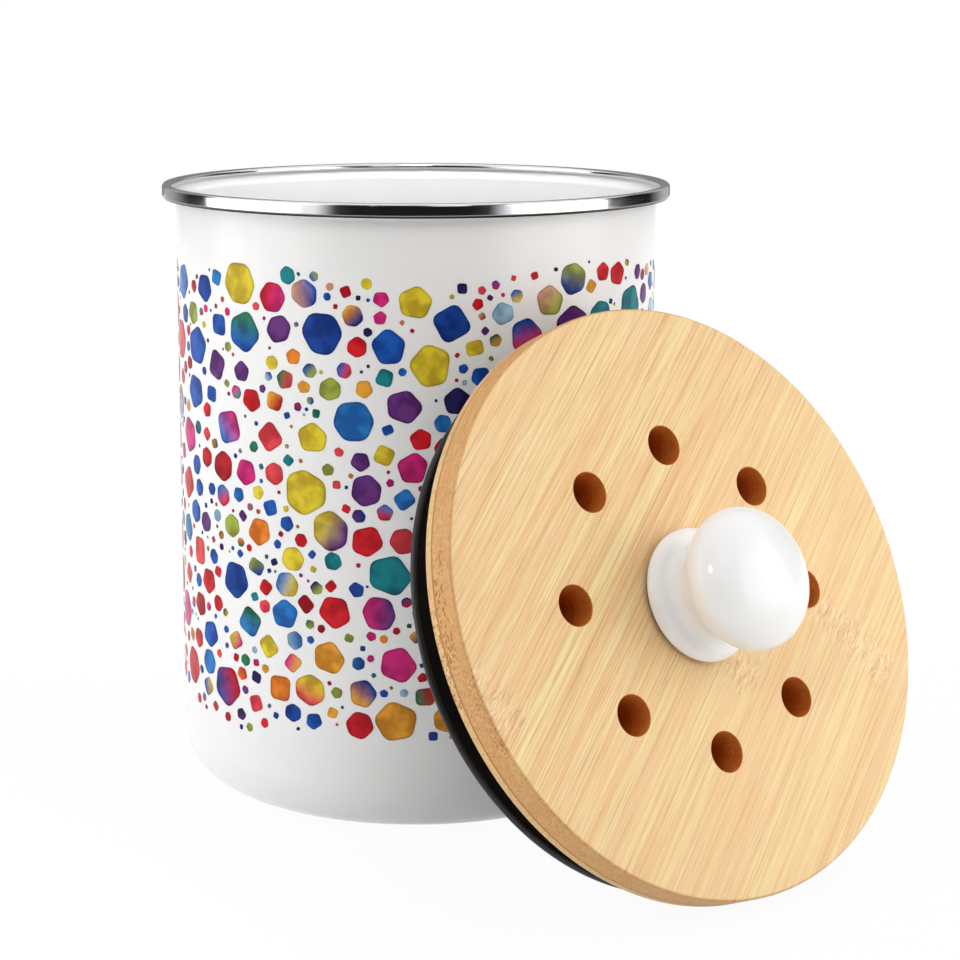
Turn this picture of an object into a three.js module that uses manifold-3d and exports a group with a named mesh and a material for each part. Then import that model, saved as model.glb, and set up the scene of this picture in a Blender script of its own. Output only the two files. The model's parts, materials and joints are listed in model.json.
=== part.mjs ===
// Compost caddy: an enamelled steel can with a rolled steel rim, and a vented bamboo lid that
// stands on the floor and leans on the can. The lid carries a ceramic knob, a soft seal and a
// charcoal filter behind a twist-off grille.
// Millimetres, +Z up. The origin is the middle of the can's base. The lid leans at the -Y side.
import * as THREE from 'three';
import { mergeVertices } from 'three/addons/utils/BufferGeometryUtils.js';
import Module from 'manifold-3d';

const wasm = await Module();
wasm.setup();

// Can
const bodyRadius = 78;
const canHeight = 198;
const sheetThickness = 0.9;
const baseCornerRadius = 17.5;
const collarDrop = 1; // the wall starts to step out this far below the rim's skirt
const collarHeight = 1.2; // straight part of the collar above the step
const baseBeadInset = 16.5; // from the rounded corner to the pressed ring that stiffens the base
const baseBeadWidth = 6;
const baseBeadDepth = 0.9;

// Rim band
const rimStep = 4.5; // how far the band stands out from the wall
const rimSkirtHeight = 4.4;
const rimInnerHeight = 2;
const rimHollow = 0.7; // between the collar and the band's inner fold
const rimSheet = 0.5;
const rimRound = 0.8;

// Lid board
const lidOverhang = 5.7; // how far the board reaches past the rim
const boardThickness = 11.6;
const boardFrontRound = 1;
const boardBackRound = 0.6;
const ventRadius = 6;
const ventMargin = 5.2; // from the vents to the wall of the recess
const ventCount = 8;
const ventPhaseDeg = 38.9;

// Lid plug
const plugSideGap = 5.6; // from the plug to the can's mouth
const plugWall = 17;
const grooveDrop = 4; // from the plug's top down to the seal's groove
const grooveHeight = 3;
const grooveDepth = 1.2;

// Seal
const sleeveThickness = 2.4;
const lipReach = 3.4; // how much further the free lip reaches than the rim's mouth
const lipDrop = 12.8; // from the board down to the lip's bead
const lipBeadHeight = 2.4;
const lipBeadWidth = 1.8;
const lipWebThickness = 1.2;

// Knob
const flangeRadius = 20;
const footInset = 0.9;
const flangeEdgeHeight = 1.6;
const shoulderInset = 2;
const shoulderHeight = 4;
const neckRadius = 13.8;
const neckHeight = 8.8;
const headRadius = 21;
const headHalfHeight = 11.4;
const headHeight = 21.7; // height of the head's widest circle
const headUndersideDeg = 40;

// Knob fixing
const knobWasherThickness = 0.5;
const knobWasherInset = 0.7;
const bushRadius = 4.2;
const bushFlangeReach = 1;
const bushFlangeThickness = 1;
const bushLength = 13;
const screwRadius = 2;
const screwHeadRadius = 4;
const screwHeadHeight = 2.6;
const screwEngagement = 9;
const screwSlotWidth = 1;
const screwSlotDepth = 1.2;
const steelWasherRadius = 6;
const steelWasherThickness = 1;

// Filter ring
const ringSetback = 3; // from the plug's side to the ring's
const ringThickness = 2.2;
const padRest = 2.5; // how far the ring reaches in under the recess
const ledgeReach = 3; // how far the ledges that carry the grille reach in
const ledgeThickness = 1;
const ledgeCount = 3;
const ledgeArcDeg = 52;
const stopArcDeg = 6;
const stopGapDeg = 1; // between a stop and its lug
const stopHeight = 1.2;
const ringScrewCount = 4;
const ringScrewPhaseDeg = 45;
const woodScrewRadius = 1.5;
const woodScrewLength = 9;
const woodScrewHeadRadius = 2.9;
const woodScrewHeadHeight = 1.3;
const woodScrewSlotWidth = 0.8;
const woodScrewSlotDepth = 0.6;

// Filter grille and pad
const grilleThickness = 1.8;
const lugThickness = 1.3;
const lugArcDeg = 24;
const lugSideGap = 0.8; // from the lugs to the ring's bore
const slotWidth = 5;
const slotPitch = 10;
const slotMargin = 7.2; // from the slots to the grille's edge
const gripLength = 56;
const gripWidth = 6;
const gripHeight = 5;
const padThickness = 6;
const padSideGap = 1.2;
const padHeadroom = 1.7; // between the pad and the knob's screw

// Stance of the lid
const leanDeg = 24.4; // angle of the board from upright
const lidSideStep = -6.6; // how far the lid stands to the side of the can's middle

// Clearances
const seatGap = 0.3;
const fitGap = 0.3;
const floorGap = 0.25;
const cutOverrun = 1;

// Numbers of steps
const roundSteps = 60;
const midSteps = 32;
const smallSteps = 20;
const tinySteps = 10;
const leanSteps = 180;

const degrees = Math.PI / 180;

// Sizes that follow from the ones above: can and rim
const rimRadius = bodyRadius + rimStep;
const collarRadius = rimRadius - rimSheet - fitGap;
const mouthRadius = collarRadius - sheetThickness - rimHollow - rimSheet;
const collarTop = canHeight - rimSheet - seatGap;
const stepBottom = canHeight - rimSkirtHeight - collarDrop;
const stepTop = collarTop - collarHeight;
const baseBeadRadius = bodyRadius - baseCornerRadius - baseBeadInset;

// Radii of the lid's pieces, from the can's mouth inwards
const lidRadius = rimRadius + lidOverhang;
const lipRadius = mouthRadius + lipReach;
const plugRadius = mouthRadius - plugSideGap;
const sleeveInner = plugRadius + fitGap;
const sleeveOuter = sleeveInner + sleeveThickness;
const recessRadius = plugRadius - plugWall;
const ventCircleRadius = recessRadius - ventMargin - ventRadius;
const ringRadius = plugRadius - ringSetback;
const ringScrewCircleRadius = (plugRadius + recessRadius) / 2;
const ringBoreRadius = recessRadius - padRest;
const lugRadius = ringBoreRadius - lugSideGap;
const ledgeRadius = ringBoreRadius - ledgeReach;
const grilleRadius = ledgeRadius - fitGap;
const slotFieldRadius = grilleRadius - slotMargin;
const padRadius = recessRadius - padSideGap;
const knobWasherRadius = flangeRadius - knobWasherInset;
const bushFlangeRadius = bushRadius + bushFlangeReach;

// Heights in the lid, from the board's underside at zero: the knob above, the filter below
const knobBase = boardThickness + seatGap + knobWasherThickness + seatGap;
const screwSeat = -seatGap - steelWasherThickness - seatGap;
const padTop = screwSeat - screwHeadHeight - padHeadroom;
const padBottom = padTop - padThickness;
const lugTop = padBottom - seatGap;
const lugBottom = lugTop - lugThickness;
const grilleBottom = lugTop - grilleThickness;
const ledgeTop = lugBottom - seatGap;
const ringBottom = ledgeTop - ledgeThickness;
const ringTop = ringBottom + ringThickness;
const ringScrewSeat = ringBottom - seatGap;
const plugTop = -seatGap;
const plugBottom = ringTop + seatGap;
const lipTop = -lipDrop;
const lipBottom = lipTop - lipBeadHeight;

// Colours, roughness and metalness
const enamel = { color: 0xf4f4f2, roughness: 0.12, metalness: 0 };
const polishedSteel = { color: 0xc9cbce, roughness: 0.14, metalness: 1 };
const bamboo = { color: 0xf0d09c, roughness: 0.5, metalness: 0 };
const silicone = { color: 0x15161a, roughness: 0.55, metalness: 0 };
const glaze = { color: 0xf5f4f3, roughness: 0.1, metalness: 0 };
const softWasher = { color: 0x2a2522, roughness: 0.8, metalness: 0 };
const brass = { color: 0xc69a45, roughness: 0.35, metalness: 1 };
const zincSteel = { color: 0xb4b6b8, roughness: 0.35, metalness: 1 };
const blackPlastic = { color: 0x1b1c1e, roughness: 0.45, metalness: 0 };
const charcoalFelt = { color: 0x262626, roughness: 0.95, metalness: 0 };

// Turns a geometry into a solid whose faces point out
function toSolid(geometry) {
  const bare = geometry.clone();
  bare.deleteAttribute('normal');
  bare.deleteAttribute('uv');
  const merged = mergeVertices(bare);
  const corners = merged.index.array;
  const places = merged.attributes.position;
  const triangles = [];
  const [a, b, c] = [new THREE.Vector3(), new THREE.Vector3(), new THREE.Vector3()];
  let volume = 0;
  for (let i = 0; i < corners.length; i += 3) {
    const [p, q, r] = [corners[i], corners[i + 1], corners[i + 2]];
    if (p === q || q === r || p === r) continue;
    triangles.push([p, q, r]);
    volume += a.fromBufferAttribute(places, p).dot(
      b.fromBufferAttribute(places, q).cross(c.fromBufferAttribute(places, r)));
  }
  if (volume < 0) triangles.forEach((triangle) => triangle.reverse());
  return new wasm.Manifold(new wasm.Mesh({
    numProp: 3,
    vertProperties: Float32Array.from(places.array),
    triVerts: Uint32Array.from(triangles.flat()),
  }));
}

// Turns [radius, height] points, which start and end on the axis or close on themselves, about Z
function lathe(points, steps) {
  const profile = points.map(([radius, height]) => new THREE.Vector2(radius, height));
  if (points[0][0] > 0) profile.push(profile[0].clone());
  const geometry = new THREE.LatheGeometry(profile, steps);
  geometry.rotateX(90 * degrees);
  return toSolid(geometry);
}

function cylinder(radius, bottom, top, steps) {
  return lathe([[0, bottom], [radius, bottom], [radius, top], [0, top]], steps);
}

function ring(inner, outer, bottom, top, steps) {
  return lathe([[inner, bottom], [outer, bottom], [outer, top], [inner, top]], steps);
}

// Points on a quarter or other part of an ellipse in a profile, both ends included
function arc(radius, height, reach, rise, fromDeg, toDeg, steps) {
  return Array.from({ length: steps + 1 }, (_, i) => {
    const angle = (fromDeg + ((toDeg - fromDeg) * i) / steps) * degrees;
    return [radius + reach * Math.cos(angle), height + rise * Math.sin(angle)];
  });
}

// Points on a smooth curve of a profile, without its first point
function curve(from, pullFrom, pullTo, to, steps) {
  const [p, q, r, s] = [from, pullFrom, pullTo, to].map((point) => new THREE.Vector2(...point));
  return new THREE.CubicBezierCurve(p, q, r, s).getPoints(steps).slice(1).map(({ x, y }) => [x, y]);
}

// A slice of a ring, middled on one angle
function sector(inner, outer, bottom, top, middleDeg, arcDeg, steps) {
  const from = (middleDeg - arcDeg / 2) * degrees;
  const to = (middleDeg + arcDeg / 2) * degrees;
  const shape = new THREE.Shape();
  shape.absarc(0, 0, outer, from, to, false);
  shape.absarc(0, 0, inner, to, from, true);
  return extrude(shape, bottom, top, steps);
}

function extrude(shape, bottom, top, steps) {
  const geometry = new THREE.ExtrudeGeometry(shape, {
    depth: top - bottom, bevelEnabled: false, curveSegments: steps,
  });
  geometry.translate(0, 0, bottom);
  return toSolid(geometry);
}

function box(sizeX, sizeY, bottom, top) {
  const geometry = new THREE.BoxGeometry(sizeX, sizeY, top - bottom);
  geometry.translate(0, 0, (bottom + top) / 2);
  return toSolid(geometry);
}

function around(count, phaseDeg, make) {
  return Array.from({ length: count }, (_, i) => make(phaseDeg + (360 * i) / count, i));
}

function onCircle(solid, radius, angleDeg) {
  return solid.translate([radius * Math.cos(angleDeg * degrees), radius * Math.sin(angleDeg * degrees), 0]);
}

function joined(first, others) {
  return others.reduce((whole, other) => whole.add(other), first);
}

function cut(solid, tools) {
  return tools.reduce((rest, tool) => rest.subtract(tool), solid);
}

// Makes the named mesh of a finished solid
function piece(name, solid, finish) {
  const { vertProperties, triVerts, numProp } = solid.getMesh();
  const places = new Float32Array((vertProperties.length / numProp) * 3);
  for (let i = 0; i < places.length / 3; i += 1) {
    places.set(vertProperties.subarray(i * numProp, i * numProp + 3), i * 3);
  }
  const geometry = new THREE.BufferGeometry();
  geometry.setAttribute('position', new THREE.BufferAttribute(places, 3));
  geometry.setIndex(new THREE.BufferAttribute(Uint32Array.from(triVerts), 1));
  geometry.computeVertexNormals();
  const mesh = new THREE.Mesh(geometry, new THREE.MeshStandardMaterial(finish));
  mesh.name = name;
  return mesh;
}

// One skin of the can: base with its pressed ring, rounded corner, wall, step and collar. The inner
// skin lies one sheet inside the outer one.
function canSkin(inset) {
  const cornerMiddle = bodyRadius - baseCornerRadius;
  const cornerReach = baseCornerRadius - inset;
  const wall = bodyRadius - inset;
  const collar = collarRadius - inset;
  const beadTop = inset + baseBeadDepth;
  const stepMiddle = (stepBottom + stepTop) / 2;
  const step = curve([wall, stepBottom], [wall, stepMiddle], [collar, stepMiddle], [collar, stepTop], 4);
  return [
    [0, inset],
    [baseBeadRadius - baseBeadWidth / 2, inset],
    [baseBeadRadius - baseBeadWidth / 4, beadTop],
    [baseBeadRadius + baseBeadWidth / 4, beadTop],
    [baseBeadRadius + baseBeadWidth / 2, inset],
    ...arc(cornerMiddle, baseCornerRadius, cornerReach, cornerReach, -90, 0, 6),
    [wall, stepBottom],
    ...step,
    [collar, collarTop],
  ];
}

function canBody() {
  return lathe([...canSkin(0), ...canSkin(sheetThickness).reverse()], roundSteps);
}

function rimBand() {
  const skirtInner = rimRadius - rimSheet;
  const innerSkirtOuter = mouthRadius + rimSheet;
  const crownUnder = canHeight - rimSheet;
  return lathe([
    [skirtInner, canHeight - rimSkirtHeight],
    [rimRadius, canHeight - rimSkirtHeight],
    ...arc(rimRadius - rimRound, canHeight - rimRound, rimRound, rimRound, 0, 90, 3),
    ...arc(mouthRadius + rimRound, canHeight - rimRound, rimRound, rimRound, 90, 180, 3),
    [mouthRadius, canHeight - rimInnerHeight],
    [innerSkirtOuter, canHeight - rimInnerHeight],
    [innerSkirtOuter, crownUnder],
    [skirtInner, crownUnder],
  ], roundSteps);
}

// The lid is built flat, with its board's underside at height zero, and then leaned as a whole
function boardOutline() {
  const backMiddle = lidRadius - boardBackRound;
  const frontMiddle = lidRadius - boardFrontRound;
  return [
    [0, 0],
    ...arc(backMiddle, boardBackRound, boardBackRound, boardBackRound, -90, 0, 2),
    ...arc(frontMiddle, boardThickness - boardFrontRound, boardFrontRound, boardFrontRound, 0, 90, 3),
    [0, boardThickness],
  ];
}

function lidBoard() {
  const disc = lathe(boardOutline(), roundSteps);
  const hole = cylinder(ventRadius, -cutOverrun, boardThickness + cutOverrun, smallSteps);
  const screwHole = cylinder(screwRadius + 2 * fitGap, -cutOverrun, boardThickness + cutOverrun, tinySteps);
  const holes = around(ventCount, ventPhaseDeg, (angle) => onCircle(hole, ventCircleRadius, angle));
  return cut(disc, [...holes, screwHole]);
}

function lidPlug() {
  const grooveFloor = plugRadius - grooveDepth;
  const grooveTop = plugTop - grooveDrop;
  const body = lathe([
    [recessRadius, plugBottom],
    [plugRadius, plugBottom],
    [plugRadius, grooveTop - grooveHeight],
    [grooveFloor, grooveTop - grooveHeight],
    [grooveFloor, grooveTop],
    [plugRadius, grooveTop],
    [plugRadius, plugTop],
    [recessRadius, plugTop],
  ], roundSteps);
  const pilotTop = ringScrewSeat + woodScrewLength + seatGap;
  const pilot = cylinder(woodScrewRadius + fitGap, plugBottom - cutOverrun, pilotTop, tinySteps);
  return cut(body, around(ringScrewCount, ringScrewPhaseDeg, (angle) =>
    onCircle(pilot, ringScrewCircleRadius, angle)));
}

function sealOutline() {
  const ribTop = plugTop - grooveDrop - fitGap;
  const ribBottom = ribTop - grooveHeight + 2 * fitGap;
  const ribInner = plugRadius - grooveDepth + fitGap;
  const beadMiddle = (lipTop + lipBottom) / 2;
  const beadHalf = lipBeadHeight / 2;
  const webTop = beadMiddle + lipWebThickness / 2;
  const webBottom = beadMiddle - lipWebThickness / 2;
  const beadInner = lipRadius - lipBeadWidth;
  return [
    [sleeveInner, lipBottom],
    [sleeveOuter, lipBottom],
    [sleeveOuter, webBottom],
    [beadInner, webBottom],
    ...arc(beadInner, beadMiddle, lipBeadWidth, beadHalf, -90, 90, 6),
    [beadInner, webTop],
    [sleeveOuter, webTop],
    [sleeveOuter, -seatGap],
    [sleeveInner, -seatGap],
    [sleeveInner, ribTop],
    [ribInner, ribTop],
    [ribInner, ribBottom],
    [sleeveInner, ribBottom],
  ];
}

function lidSeal() {
  return lathe(sealOutline(), roundSteps);
}

function knobBody() {
  const bushHole = bushRadius + fitGap;
  const bushFlangeHole = bushFlangeRadius + fitGap;
  const headStart = arc(0, headHeight, headRadius, headHalfHeight, -headUndersideDeg, 90, 8);
  const foot = flangeRadius - footInset;
  const edge = [flangeRadius, flangeEdgeHeight];
  const shoulder = [flangeRadius - shoulderInset, shoulderHeight];
  const neck = [neckRadius, neckHeight];
  const shoulderPull = [neckRadius, shoulderHeight];
  const neckPull = [neckRadius, (neckHeight + headStart[0][1]) / 2];
  const outline = [
    [0, bushLength + seatGap],
    [bushHole, bushLength + seatGap],
    [bushHole, bushFlangeThickness + seatGap],
    [bushFlangeHole, bushFlangeThickness + seatGap],
    [bushFlangeHole, 0],
    [foot, 0],
    edge,
    ...curve(edge, [flangeRadius, (flangeEdgeHeight + shoulderHeight) / 2], shoulder, shoulder, 2),
    ...curve(shoulder, shoulderPull, shoulderPull, neck, 3),
    ...curve(neck, neckPull, neckPull, headStart[0], 3),
    ...headStart.slice(1),
  ];
  return lathe(outline.map(([radius, height]) => [radius, height + knobBase]), midSteps);
}

function knobBush() {
  const bore = screwRadius + fitGap;
  return lathe([
    [bore, knobBase],
    [bushFlangeRadius, knobBase],
    [bushFlangeRadius, knobBase + bushFlangeThickness],
    [bushRadius, knobBase + bushFlangeThickness],
    [bushRadius, knobBase + bushLength],
    [bore, knobBase + bushLength],
  ], smallSteps);
}

function knobWasher() {
  const bottom = boardThickness + seatGap;
  return ring(screwRadius + 2 * fitGap, knobWasherRadius, bottom, knobBase - seatGap, midSteps);
}

function screwWasher() {
  const bottom = -seatGap - steelWasherThickness;
  return ring(screwRadius + fitGap, steelWasherRadius, bottom, -seatGap, smallSteps);
}

// A slotted screw whose head hangs below its seat and whose shank goes up
function slottedScrew(shank, length, head, headRise, slotWide, slotDeep, seat, steps) {
  const headBottom = seat - headRise;
  const blank = lathe([
    [0, headBottom],
    [head, headBottom],
    [head, seat],
    [shank, seat],
    [shank, seat + length],
    [0, seat + length],
  ], steps);
  const slotLength = 2 * head + cutOverrun;
  return blank.subtract(box(slotLength, slotWide, headBottom - cutOverrun, headBottom + slotDeep));
}

function knobScrew() {
  const length = knobBase - screwSeat + screwEngagement;
  return slottedScrew(
    screwRadius, length, screwHeadRadius, screwHeadHeight,
    screwSlotWidth, screwSlotDepth, screwSeat, smallSteps);
}

function ringScrew(angle) {
  const screw = slottedScrew(
    woodScrewRadius, woodScrewLength, woodScrewHeadRadius, woodScrewHeadHeight,
    woodScrewSlotWidth, woodScrewSlotDepth, ringScrewSeat, tinySteps);
  return onCircle(screw, ringScrewCircleRadius, angle);
}

// The ring has inward ledges, each with a stop that its lug turns against
function filterRing() {
  const body = ring(ringBoreRadius, ringRadius, ringBottom, ringTop, roundSteps);
  const root = ringBoreRadius + ledgeReach / 2;
  const ledges = around(ledgeCount, 0, (angle) =>
    sector(ledgeRadius, root, ringBottom, ledgeTop, angle, ledgeArcDeg, 8));
  const stopAngle = -(lugArcDeg + stopArcDeg) / 2 - stopGapDeg;
  const stops = around(ledgeCount, stopAngle, (angle) =>
    sector(ledgeRadius, root, ringBottom, ledgeTop + stopHeight, angle, stopArcDeg, 2));
  const hole = cylinder(woodScrewRadius + fitGap, ringBottom - cutOverrun, ringTop + cutOverrun, tinySteps);
  const holes = around(ringScrewCount, ringScrewPhaseDeg, (angle) =>
    onCircle(hole, ringScrewCircleRadius, angle));
  return cut(joined(body, [...ledges, ...stops]), holes);
}

function filterGrille() {
  const disc = cylinder(grilleRadius, grilleBottom, lugTop, roundSteps);
  const lugs = around(ledgeCount, 0, (angle) =>
    sector(grilleRadius - ledgeReach, lugRadius, lugBottom, lugTop, angle, lugArcDeg, 4));
  const grip = box(gripWidth, gripLength, grilleBottom - gripHeight, grilleBottom + grilleThickness / 2);
  const slots = [];
  for (let x = slotPitch; x + slotWidth / 2 < slotFieldRadius; x += slotPitch) {
    const half = Math.sqrt(slotFieldRadius ** 2 - x ** 2) - slotWidth / 2;
    const outline = new THREE.Shape();
    outline.absarc(0, half, slotWidth / 2, 0, 180 * degrees, false);
    outline.absarc(0, -half, slotWidth / 2, 180 * degrees, 360 * degrees, false);
    const slot = extrude(outline, grilleBottom - cutOverrun, lugTop + cutOverrun, 4);
    slots.push(slot.translate([x, 0, 0]), slot.translate([-x, 0, 0]));
  }
  return cut(joined(disc, [...lugs, grip]), slots);
}

function carbonFilter() {
  return cylinder(padRadius, padBottom, padTop, midSteps);
}

// Finds where the leaned lid stands: its lowest edge just over the floor, and its nearest edge just
// clear of the can's wall or rim
function lidPlace() {
  const lean = leanDeg * degrees;
  const grip = [gripLength / 2, grilleBottom - gripHeight];
  const edges = [...boardOutline(), ...sealOutline(), [ringRadius, ringBottom], grip];
  const height = floorGap + Math.max(...edges.map(([radius, rise]) =>
    radius * Math.cos(lean) - rise * Math.sin(lean)));
  let distance = 0;
  for (const [radius, rise] of edges) {
    for (let i = 0; i < leanSteps; i += 1) {
      const angle = (360 * i * degrees) / leanSteps;
      const x = lidSideStep + radius * Math.cos(angle);
      const y = radius * Math.sin(angle) * Math.sin(lean) - rise * Math.cos(lean);
      const z = height + radius * Math.sin(angle) * Math.cos(lean) + rise * Math.sin(lean);
      const wall = (z < stepBottom ? bodyRadius : rimRadius) + seatGap;
      if (z > canHeight + seatGap || Math.abs(x) > wall) continue;
      distance = Math.max(distance, Math.sqrt(wall ** 2 - x ** 2) + y);
    }
  }
  return new THREE.Vector3(lidSideStep, -distance, height);
}

const caddy = new THREE.Group();
caddy.add(piece('can_body', canBody(), enamel));
caddy.add(piece('rim_band', rimBand(), polishedSteel));

const lid = new THREE.Group();
lid.add(piece('lid_board', lidBoard(), bamboo));
lid.add(piece('lid_plug', lidPlug(), bamboo));
lid.add(piece('lid_seal', lidSeal(), silicone));
lid.add(piece('knob', knobBody(), glaze));
lid.add(piece('knob_bush', knobBush(), brass));
lid.add(piece('knob_washer', knobWasher(), softWasher));
lid.add(piece('knob_screw', knobScrew(), zincSteel));
lid.add(piece('screw_washer', screwWasher(), zincSteel));
lid.add(piece('filter_ring', filterRing(), blackPlastic));
around(ringScrewCount, ringScrewPhaseDeg, (angle, i) =>
  lid.add(piece(`filter_screw_${i + 1}`, ringScrew(angle), zincSteel)));
lid.add(piece('carbon_filter', carbonFilter(), charcoalFelt));
lid.add(piece('filter_grille', filterGrille(), blackPlastic));
lid.rotation.x = (90 - leanDeg) * degrees;
lid.position.copy(lidPlace());
caddy.add(lid);

export default caddy;
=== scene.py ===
import json
import math
import random

import bmesh
import bpy
from mathutils import Matrix, Vector


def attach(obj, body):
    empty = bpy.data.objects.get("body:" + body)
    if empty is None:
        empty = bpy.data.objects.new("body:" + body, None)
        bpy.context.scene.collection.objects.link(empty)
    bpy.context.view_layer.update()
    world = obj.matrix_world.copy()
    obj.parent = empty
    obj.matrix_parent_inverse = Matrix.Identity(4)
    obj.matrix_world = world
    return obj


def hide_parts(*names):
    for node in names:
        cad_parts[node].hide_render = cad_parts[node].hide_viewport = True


# Compost caddy: enamelled can with a steel rim, and its vented bamboo lid leaning on it.
# Sizes are in millimetres and are turned into metres as each mesh is finished.
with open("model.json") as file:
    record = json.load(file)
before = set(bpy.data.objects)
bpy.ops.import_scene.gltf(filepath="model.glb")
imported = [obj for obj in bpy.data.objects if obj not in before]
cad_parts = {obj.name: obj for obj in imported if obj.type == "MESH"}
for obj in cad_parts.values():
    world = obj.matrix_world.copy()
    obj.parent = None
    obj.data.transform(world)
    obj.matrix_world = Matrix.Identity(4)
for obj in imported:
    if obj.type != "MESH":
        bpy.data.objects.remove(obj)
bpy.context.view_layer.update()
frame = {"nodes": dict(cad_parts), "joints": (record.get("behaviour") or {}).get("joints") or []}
print("frame loaded")

mm = 0.001
upright = Matrix.Identity(4)
meshing = {"merge": 0.0005, "sliver": 0.0001, "sharpDeg": 35, "copySharpDeg": 30}

# The lid's own frame: its origin is the middle of the board's underside, its Z points out of the face
twist = next(joint for joint in frame["joints"] if joint["name"] == "grille_twist")
lidFace = Vector(twist["axis"]).normalized()
lidUp = lidFace.cross(Vector((1, 0, 0)))
lidTurn = Matrix((Vector((1, 0, 0)), lidUp, lidFace)).transposed()
lidPlace = Matrix.Translation(Vector(twist["pos_m"])) @ lidTurn.to_4x4()


# Shader helpers

class Wire:  # a socket's value, with the maths that the finishes use
    def __init__(self, finish, socket):
        self.finish = finish
        self.socket = socket

    def maths(self, operation, *values):
        return self.finish.add("ShaderNodeMath", {"operation": operation}, dict(enumerate(values)))

    def __add__(self, other):
        return self.maths("ADD", self, other)

    def __sub__(self, other):
        return self.maths("SUBTRACT", self, other)

    def __rsub__(self, other):
        return self.maths("SUBTRACT", other, self)

    def __mul__(self, other):
        return self.maths("MULTIPLY", self, other)

    def __truediv__(self, other):
        return self.maths("DIVIDE", self, other)

    def __gt__(self, other):
        return self.maths("GREATER_THAN", self, other)

    def __lt__(self, other):
        return self.maths("LESS_THAN", self, other)

    __radd__ = __add__
    __rmul__ = __mul__

    def floor(self):
        return self.maths("FLOOR", self)

    def size(self):
        return self.maths("ABSOLUTE", self)

    def root(self):
        return self.maths("SQRT", self)

    def fade(self, low, high):  # 0 at low, 1 at high, smooth between
        sockets = {0: self, 1: low, 2: high, 3: 0.0, 4: 1.0}
        return self.finish.add("ShaderNodeMapRange", {"interpolation_type": "SMOOTHSTEP"}, sockets)


class Finish:  # a material and its nodes, or the world's
    def __init__(self, name, tree=None):
        if tree is None:
            self.material = bpy.data.materials.new(name)
            self.material.use_nodes = True
            tree = self.material.node_tree
        self.tree = tree
        self.tree.nodes.clear()

    def add(self, kind, settings=None, sockets=None, out=0):
        node = self.tree.nodes.new(kind)
        for key, value in (settings or {}).items():
            if key == "stops":
                ramp = node.color_ramp.elements
                while len(ramp) < len(value):
                    ramp.new(1.0)
                for stop, (place, colour) in zip(ramp, value):
                    stop.position = place
                    stop.color = colour
            elif key == "interpolation":
                node.color_ramp.interpolation = value
            else:
                setattr(node, key, value)
        for key, value in (sockets or {}).items():
            if isinstance(value, Wire):
                self.tree.links.new(value.socket, node.inputs[key])
            else:
                node.inputs[key].default_value = value
        return Wire(self, node.outputs[out]) if len(node.outputs) else node

    def coordinates(self, turn=None, centre=None):  # object coordinates in mm, turned and centred
        turn = turn or Matrix.Identity(3)
        centre = centre or Vector((0, 0, 0))
        sockets = {"Vector": self.add("ShaderNodeTexCoord", out=3), "Location": -(turn @ centre) / mm,
                   "Rotation": turn.to_euler("XYZ"), "Scale": (1 / mm,) * 3}
        return self.add("ShaderNodeMapping", {"vector_type": "POINT"}, sockets)

    def split(self, vector):
        node = self.add("ShaderNodeSeparateXYZ", None, {0: vector}).socket.node
        return [Wire(self, socket) for socket in node.outputs]

    def join(self, x, y, z):
        return self.add("ShaderNodeCombineXYZ", None, {0: x, 1: y, 2: z})

    def noise(self, vector, scale=1.0, detail=2.0, roughness=0.5):
        sockets = {"Vector": vector, "Scale": scale, "Detail": detail, "Roughness": roughness}
        return self.add("ShaderNodeTexNoise", None, sockets)

    def cells(self, vector):  # distance to the nearest of scattered points
        return self.add("ShaderNodeTexVoronoi", {"feature": "F1"}, {"Vector": vector, "Scale": 1.0})

    def attribute(self, name):
        return self.add("ShaderNodeAttribute", {"attribute_type": "GEOMETRY", "attribute_name": name})

    def mix(self, factor, first, second, way="MIX"):  # 6, 7 and 2 are the Mix node's colour sockets
        settings = {"data_type": "RGBA", "blend_type": way, "clamp_result": way != "MIX"}
        return self.add("ShaderNodeMix", settings, {0: factor, 6: first, 7: second}, out=2)

    def bump(self, height, distance, strength=1.0):
        sockets = {"Height": height, "Distance": distance * mm, "Strength": strength}
        return self.add("ShaderNodeBump", None, sockets)

    def surface(self, **sockets):
        named = {key.replace("_", " "): value for key, value in sockets.items()}
        shader = self.add("ShaderNodeBsdfPrincipled", None, named)
        self.add("ShaderNodeOutputMaterial", None, {0: shader})
        return self.material

    def seen(self):  # 1 where the camera, a mirror or glass looks, 0 where light only bounces
        path = self.add("ShaderNodeLightPath").socket.node
        rays = [Wire(self, path.outputs[f"Is {ray} Ray"]) for ray in ("Camera", "Glossy", "Transmission")]
        return sum(rays) > 0.5


# Mesh helpers

def rounded(corners, closed=True, steps=4):  # points of an outline; a corner's third number rounds it
    points = []
    for i, corner in enumerate(corners):
        here = Vector(corner[:2])
        if len(corner) < 3 or (not closed and i in (0, len(corners) - 1)):
            points.append(here)
            continue
        back = (Vector(corners[i - 1][:2]) - here).normalized()
        on = (Vector(corners[(i + 1) % len(corners)][:2]) - here).normalized()
        half = back.angle(on) / 2
        reach = corner[2] / math.tan(half)
        middle = here + (back + on).normalized() * corner[2] / math.sin(half)
        start, end = here + back * reach - middle, here + on * reach - middle
        points += [middle + corner[2] * start.slerp(end, step / steps) for step in range(steps + 1)]
    return points


def bent(start, pullStart, pullEnd, end, steps):  # points on a smooth curve, without its first one
    ends = [Vector(point) for point in (start, pullStart, pullEnd, end)]
    points = []
    for step in range(1, steps + 1):
        t = step / steps
        shares = ((1 - t) ** 3, 3 * t * (1 - t) ** 2, 3 * t * t * (1 - t), t ** 3)
        points.append(sum((point * share for point, share in zip(ends, shares)), Vector((0, 0))))
    return points


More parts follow.
